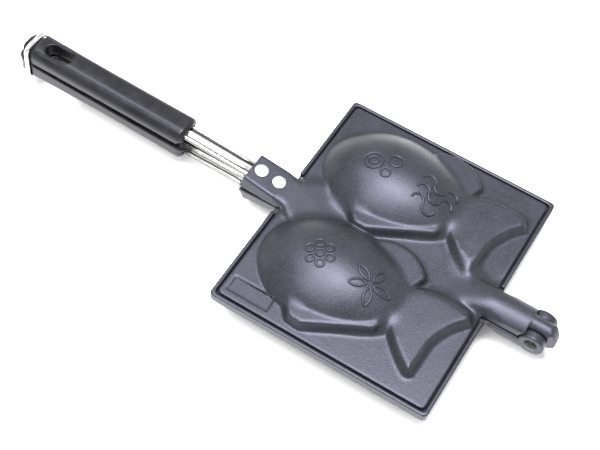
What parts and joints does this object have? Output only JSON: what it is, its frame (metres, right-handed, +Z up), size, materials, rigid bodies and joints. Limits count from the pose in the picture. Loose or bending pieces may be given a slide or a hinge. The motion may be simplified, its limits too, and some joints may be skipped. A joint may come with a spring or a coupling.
{
  "type": "taiyaki maker",
  "caption": "Hinged double pan with fish-shaped moulds in both cast plates, a split grip handle on metal tangs and a wire ring that latches the halves.",
  "frame": {"origin": "centre of the footprint, on the surface that the lower moulds' flats rest on", "axes": "+X from the handle to the hinge, +Y to the plate's far side, +Z up"},
  "size_m": [0.3474, 0.154, 0.0386],
  "materials": {
    "plate_coating": "dark semi-matt non-stick coating over cast aluminium",
    "rivet_metal": "bright, lightly brushed",
    "pin_steel": "darkened, satin",
    "tang_plating": "bright plated sheet",
    "grip_phenolic": "glossy black phenolic",
    "ring_wire": "bright plated wire",
    "screw_steel": "zinc-plated"
  },
  "bodies": {
    "lower_half": {"lower_plate": "plate_coating", "hinge_pin": "pin_steel", "lower_tang": "tang_plating", "lower_grip": "grip_phenolic", "lower_rivet_front": "rivet_metal", "lower_rivet_rear": "rivet_metal", "lower_grip_screw": "screw_steel"},
    "upper_half": {"upper_plate": "plate_coating", "upper_tang": "tang_plating", "upper_grip": "grip_phenolic", "upper_rivet_front": "rivet_metal", "upper_rivet_rear": "rivet_metal", "upper_grip_screw": "screw_steel"},
    "latch_ring": {"latch_ring": "ring_wire"}
  },
  "joints": [
    {"name": "plate_hinge", "type": "hinge", "parent": "lower_half", "child": "upper_half", "pos_m": [0.16243, 0, 0.0184], "axis": [0, 1, 0], "range_deg": [0, 180]},
    {"name": "ring_swing", "type": "hinge", "parent": "lower_half", "child": "latch_ring", "pos_m": [-0.16376, 0, 0.01393], "axis": [0, -1, 0], "range_deg": [0, 110]}
  ]
}
